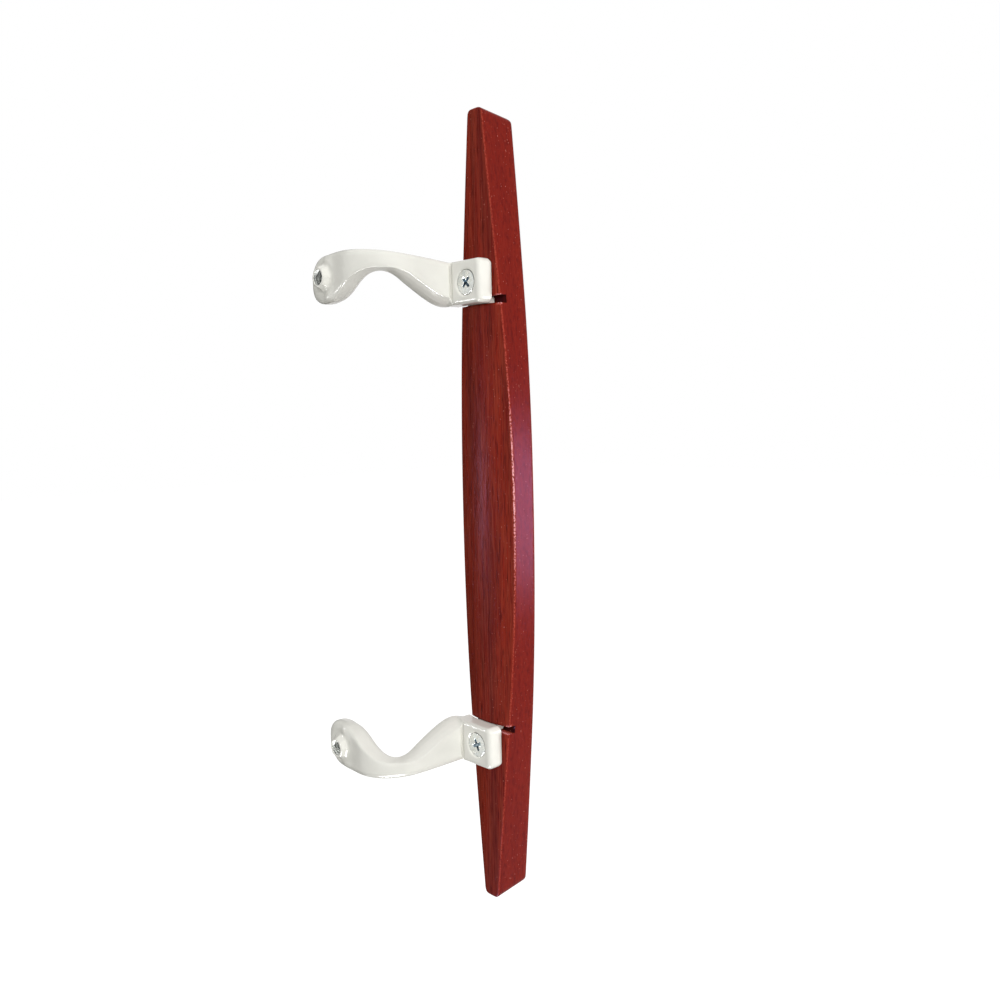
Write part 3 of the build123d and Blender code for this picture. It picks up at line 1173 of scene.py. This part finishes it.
    def is_bare(self, spot: Vector) -> bool:
        """Tells whether a face lies in the tapped hole, which carries no enamel.

        Args:
            spot: Middle of the face, in millimetres.

        Returns:
            True where the tap left bare metal.
        """
        radius = math.hypot(spot.x, spot.z - self.hole_height)
        in_bore = radius < self.hole_radius + self.thread_depth + self.bare_slack
        return in_bore and self.hole_floor - self.wall_slack < spot.y < self.hole_mouth - self.bare_lip

    def build(self) -> bpy.types.Object:
        """Makes the bracket and dresses it.

        Returns:
            The finished bracket.
        """
        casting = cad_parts[self.node].data.copy()
        casting.transform(Matrix.Scale(1 / MM, 4))
        mesh = self.flowed(softened(casting, self.skin, self.rounds))
        self.squared(mesh)
        mesh = cut_by(cut_by(mesh, self.draft(mesh)), self.quirk())
        mesh = softened(mesh, self.skin, self.rounds)
        self.tap(mesh)
        piece = placed(f"{self.side.name.lower()}_cast_bracket", mesh, self.node)
        return dressed(piece, self.finish.material(), self.bare.material(), self.is_bare)


@dataclass
class WoodScrew:
    """A zinc-plated flat-head wood screw with a cross recess and a rolled thread."""

    side: Side
    recess_turn: float
    finish: PlatedMetal = PlatedMetal(
        "zinc_plated_steel", bright="#E2E3DF", dull="#C4C9C8", smooth=0.2, rough=0.38
    )
    # Painted shade: the cross recess gets a darker, bluer metal than the head.
    recess_shade: PlatedMetal = PlatedMetal(
        "recess_painted_shade_metal", bright="#9FADB5", dull="#485A66", smooth=0.2, rough=0.4, cloud=0.7
    )
    # Head, shank, thread and point.
    head_radius: float = 4.15
    head_edge: float = 0.25
    head_angle: float = 82.0
    head_rim: float = 0.6
    shank_radius: float = 2.1
    thread_start: float = 5.2
    thread_pitch: float = 1.7
    thread_depth: float = 0.55
    thread_share: float = 0.6
    thread_flare: float = 2.5
    tip_length: float = 4.0
    tip_radius: float = 0.3
    # Cross recess and its punch.
    recess_width: float = 4.5
    recess_floor: float = 2.4
    recess_slot: float = 1.05
    recess_depth: float = 1.5
    recess_lip: float = 0.2
    recess_slack: float = 0.1
    punch_above: float = 0.5
    # Steps of the mesh, and its skin.
    ring_start: float = 0.4
    ring_step: float = 0.15
    sides: int = 64
    skin: float = 0.1
    rounds: int = 3

    @property
    def node(self) -> str:
        """Name of the screw's CAD node."""
        return f"{self.side.name.lower()}_wood_screw"

    def radius_at(self, down: float, turn: float, length: float) -> float:
        """The screw's radius.

        Args:
            down: Distance below the head's top.
            turn: Place round the axis, as a share of a turn.
            length: Length of the screw.

        Returns:
            Radius of head, shank or thread there.
        """
        slope = math.tan(math.radians(self.head_angle / 2))
        if down <= self.head_edge:
            return self.head_radius
        cone = self.head_radius - (down - self.head_edge) * slope
        tip = (length - down) / self.tip_length
        body = self.tip_radius + (self.shank_radius - self.tip_radius) * min(tip, 1.0)
        if down < self.thread_start:
            return max(cone, body)
        phase = (down / self.thread_pitch + turn) % 1.0
        groove = 1 - max(0.0, 1 - abs(2 * phase - 1) * self.thread_flare)
        return body - min(self.thread_depth, self.thread_share * body) * groove

    def blank(self, length: float) -> bpy.types.Mesh:
        """Turns the screw's body from head to point.

        Args:
            length: Length of the screw.

        Returns:
            Closed mesh along +Z, its head's top at zero.
        """
        shape = bmesh.new()
        count = int((length - self.ring_start) / self.ring_step)
        shank = [self.ring_start + self.ring_step * step for step in range(count)]
        rings = []
        for down in [0.0, self.head_edge] + shank + [length]:
            ring = []
            for step in range(self.sides):
                angle = math.tau * step / self.sides
                radius = self.radius_at(down, step / self.sides, length)
                ring.append(shape.verts.new((radius * math.cos(angle), radius * math.sin(angle), down)))
            rings.append(ring)
        return mesh_of(self.node, skinned(shape, rings))

    def recess(self, quarter: int) -> bmesh.types.BMesh:
        """The punch for one bar of the cross recess.

        Args:
            quarter: Which of the two crossed bars, 0 or 1.

        Returns:
            Tapered punch, pointing down the screw.
        """
        punch = bmesh.new()
        above = self.punch_above
        flare = (self.recess_width - self.recess_floor) / (2 * self.recess_depth)
        top = self.recess_width / 2 + above * flare
        floor = self.recess_floor / 2
        deep = self.recess_depth
        outline = [(-top, -above), (top, -above), (floor, deep), (-floor, deep)]
        half = self.recess_slot / 2
        near, far = ([punch.verts.new((x, y, z)) for x, z in outline] for y in (-half, half))
        skinned(punch, [near, far])
        turn = Matrix.Rotation(math.radians(self.recess_turn + 90 * quarter), 4, "Z")
        bmesh.ops.transform(punch, matrix=turn, verts=punch.verts)
        return punch

    def is_punched(self, spot: Vector, top: Vector) -> bool:
        """Tells whether a face lies in the cross recess.

        Args:
            spot: Middle of the face, in millimetres.
            top: Middle of the head's top.

        Returns:
            True where the punch made the face.
        """
        down = top.y - spot.y
        from_axis = math.hypot(spot.x - top.x, spot.z - top.z)
        in_depth = self.recess_lip < down < self.recess_depth + self.recess_slack
        return in_depth and from_axis < self.head_radius - down - self.head_rim

    def build(self) -> bpy.types.Object:
        """Makes the screw and dresses it.

        Returns:
            The finished screw.
        """
        low, high = (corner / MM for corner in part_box(self.node))
        mesh = self.blank(high.y - low.y)
        for quarter in (0, 1):
            mesh = cut_by(mesh, self.recess(quarter))
        mesh = softened(mesh, self.skin, self.rounds)
        middle = (low + high) / 2
        top = Vector((middle.x, high.y, middle.z))
        mesh.transform(Matrix.Translation(top) @ Matrix.Rotation(math.pi / 2, 4, "X"))
        piece = placed(f"{self.side.name.lower()}_plated_screw", mesh, self.node)
        return dressed(
            piece,
            self.finish.material(),
            self.recess_shade.material(),
            lambda spot: self.is_punched(spot, top),
        )


@dataclass(frozen=True)
class SoftBox:
    """A rectangular studio lamp that faces the part's middle."""

    name: str
    toward: tuple[float, float, float]
    radiance: float
    distance: float = 900.0
    width: float = 420.0
    height: float = 420.0
    role: LampRole = LampRole.FILL

    def build(self, aim: Vector) -> bpy.types.Object:
        """Hangs the lamp.

        Args:
            aim: Point that the lamp faces, in metres.

        Returns:
            The lamp.
        """
        light = bpy.data.lights.new(self.name, "AREA")
        light.shape = "RECTANGLE"
        light.size = self.width * MM
        light.size_y = self.height * MM
        light.energy = self.radiance * math.pi * self.width * self.height * MM**2
        lamp = bpy.data.objects.new(self.name, light)
        toward = Vector(self.toward).normalized()
        lamp.location = aim + toward * self.distance * MM
        lamp.rotation_euler = toward.to_track_quat("Z", "Y").to_euler()
        lamp.visible_camera = False
        lamp.visible_glossy = self.role is LampRole.GLEAM
        lamp.visible_diffuse = self.role is LampRole.FILL
        bpy.context.scene.collection.objects.link(lamp)
        return lamp


@dataclass(frozen=True)
class DarkCard:
    """A studio's black card, which only glossy finishes show, and which keeps lacquer deep at a glance."""

    place: tuple[float, float, float] = (250.0, 32.0, 0.0)
    width: float = 354.0
    height: float = 700.0
    colour: str = "#101010"

    def build(self) -> bpy.types.Object:
        """Stands the card beside the part.

        Returns:
            The card, marked as part of the stage.
        """
        shape = bmesh.new()
        bmesh.ops.create_grid(shape, x_segments=1, y_segments=1, size=0.5)
        bmesh.ops.scale(shape, vec=(self.height * MM, self.width * MM, 1.0), verts=shape.verts)
        card = new_object("dark_card", mesh_of("dark_card", shape))
        upright = Matrix.Rotation(math.pi / 2, 4, "Y")
        card.matrix_world = Matrix.Translation(Vector(self.place) * MM) @ upright
        card.visible_camera = False
        card.visible_diffuse = False
        card.visible_shadow = False
        felt = bpy.data.materials.new("black_felt_card")
        tree = empty_tree(felt)
        matt = add_node(tree, "BsdfDiffuse", {"Color": linear(self.colour)})
        add_node(tree, "OutputMaterial", links={"Surface": matt.outputs[0]})
        card.data.materials.append(felt)
        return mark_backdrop(card)


@dataclass
class Studio:
    """Pale sweep, white surround, lamps and the camera."""

    floor_drop: float = 220.0
    floor_size: float = 9000.0
    floor_cells: int = 8
    floor_colour: str = "#C4C4C2"
    floor_glow: float = 0.79
    ambient: float = 0.48
    camera_place: tuple[float, float, float] = (-290.63, 186.67, 38.92)
    camera_heading: float = -42.69
    camera_pitch: float = -5.68
    camera_roll: float = -1.21
    camera_near: float = 10.0
    lens: float = 34.52
    sensor: float = 36.0
    card: DarkCard = DarkCard()
    lamps: tuple[SoftBox, ...] = (
        SoftBox("key", toward=(-0.93, 0.3, 0.22), radiance=6.5),
        SoftBox("front_fill", toward=(-0.45, 0.86, 0.25), radiance=1.8),
        SoftBox("top_fill", toward=(0.0, 0.25, 0.97), radiance=2.2),
        SoftBox(
            "side_fill",
            toward=(-0.71, -0.69, -0.12),
            radiance=13.0,
            distance=700.0,
            width=160.0,
            height=260.0,
        ),
        SoftBox(
            "window_gleam",
            toward=(-0.71, -0.69, -0.09),
            radiance=28.0,
            distance=700.0,
            width=160.0,
            height=220.0,
            role=LampRole.GLEAM,
        ),
        SoftBox(
            "strip_gleam",
            toward=(0.735, 0.665, -0.085),
            radiance=80.0,
            distance=700.0,
            width=40.0,
            height=90.0,
            role=LampRole.GLEAM,
        ),
        SoftBox(
            "low_gleam",
            toward=(-0.09, 0.38, -0.92),
            radiance=50.0,
            distance=366.0,
            width=205.0,
            height=110.0,
            role=LampRole.GLEAM,
        ),
    )

    def shown_white(self, tree: bpy.types.NodeTree) -> bpy.types.NodeSocket:
        """Share of light paths that see the surround itself: camera, glossy and transmission rays.

        Args:
            tree: Node tree that needs the share.

        Returns:
            Socket that is 1 for those rays.
        """
        path = add_node(tree, "LightPath").outputs
        most = path["Is Camera Ray"]
        for ray in ("Is Glossy Ray", "Is Transmission Ray"):
            most = add_node(tree, "Math", {"operation": "MAXIMUM"}, {0: most, 1: path[ray]}).outputs[0]
        return most

    def surround(self) -> None:
        """Makes the white surround and its even fill light."""
        world = bpy.data.worlds.new("surround")
        bpy.context.scene.world = world
        tree = empty_tree(world)
        fill = add_node(tree, "Background", {"Color": linear(WHITE), "Strength": self.ambient})
        white = add_node(tree, "Background", {"Color": linear(WHITE), "Strength": 1.0})
        both = add_node(
            tree, "MixShader", links={0: self.shown_white(tree), 1: fill.outputs[0], 2: white.outputs[0]}
        )
        add_node(tree, "OutputWorld", links={"Surface": both.outputs[0]})

    def floor(self) -> bpy.types.Object:
        """Lays the pale sweep below the part.

        Returns:
            The floor.
        """
        shape = bmesh.new()
        cells = self.floor_cells
        bmesh.ops.create_grid(shape, x_segments=cells, y_segments=cells, size=self.floor_size * MM / 2)
        sweep = new_object("pale_sweep", mesh_of("pale_sweep", shape))
        sweep.location.z = cad_box[0][2] - self.floor_drop * MM
        paper = bpy.data.materials.new("matt_paper_sweep")
        tree = empty_tree(paper)
        matt = add_node(tree, "BsdfDiffuse", {"Color": linear(self.floor_colour)})
        share = add_node(
            tree, "Math", {"operation": "MULTIPLY", 1: self.floor_glow}, {0: self.shown_white(tree)}
        ).outputs[0]
        glow = add_node(tree, "Emission", {"Color": linear(WHITE)}, {"Strength": share})
        both = add_node(tree, "AddShader", links={0: matt.outputs[0], 1: glow.outputs[0]})
        add_node(tree, "OutputMaterial", links={"Surface": both.outputs[0]})
        sweep.data.materials.append(paper)
        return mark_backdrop(sweep)

    def camera(self) -> bpy.types.Object:
        """Sets the camera at the photograph's viewpoint.

        Returns:
            The scene's camera.
        """
        optics = bpy.data.cameras.new("viewpoint")
        optics.lens = self.lens
        optics.sensor_width = self.sensor
        optics.clip_start = self.camera_near * MM
        eye = bpy.data.objects.new("viewpoint", optics)
        level = Euler((math.radians(90 + self.camera_pitch), 0, math.radians(self.camera_heading - 90)))
        roll = Matrix.Rotation(math.radians(self.camera_roll), 4, "Z")
        place = Matrix.Translation(Vector(self.camera_place) * MM)
        eye.matrix_world = place @ level.to_matrix().to_4x4() @ roll
        bpy.context.scene.collection.objects.link(eye)
        bpy.context.scene.camera = eye
        return eye

    def build(self) -> None:
        """Sets up everything round the part."""
        bpy.context.scene.view_settings.view_transform = "Standard"
        self.surround()
        self.floor()
        self.camera()
        self.card.build()
        aim = (Vector(cad_box[0]) + Vector(cad_box[1])) / 2
        for lamp in self.lamps:
            lamp.build(aim)


def main() -> None:
    """Builds the pull piece by piece, then the studio."""
    logging.basicConfig(level=logging.INFO)
    assemblies = [
        PullBar(),
        CastBracket(Side.UPPER),
        CastBracket(Side.LOWER),
        WoodScrew(Side.UPPER, recess_turn=45.0),
        WoodScrew(Side.LOWER, recess_turn=-25.0),
    ]
    for assembly in assemblies:
        piece = assembly.build()
        log.info("%s: %d faces", piece.name, len(piece.data.polygons))
    Studio().build()


if __name__ == "__main__":
    main()
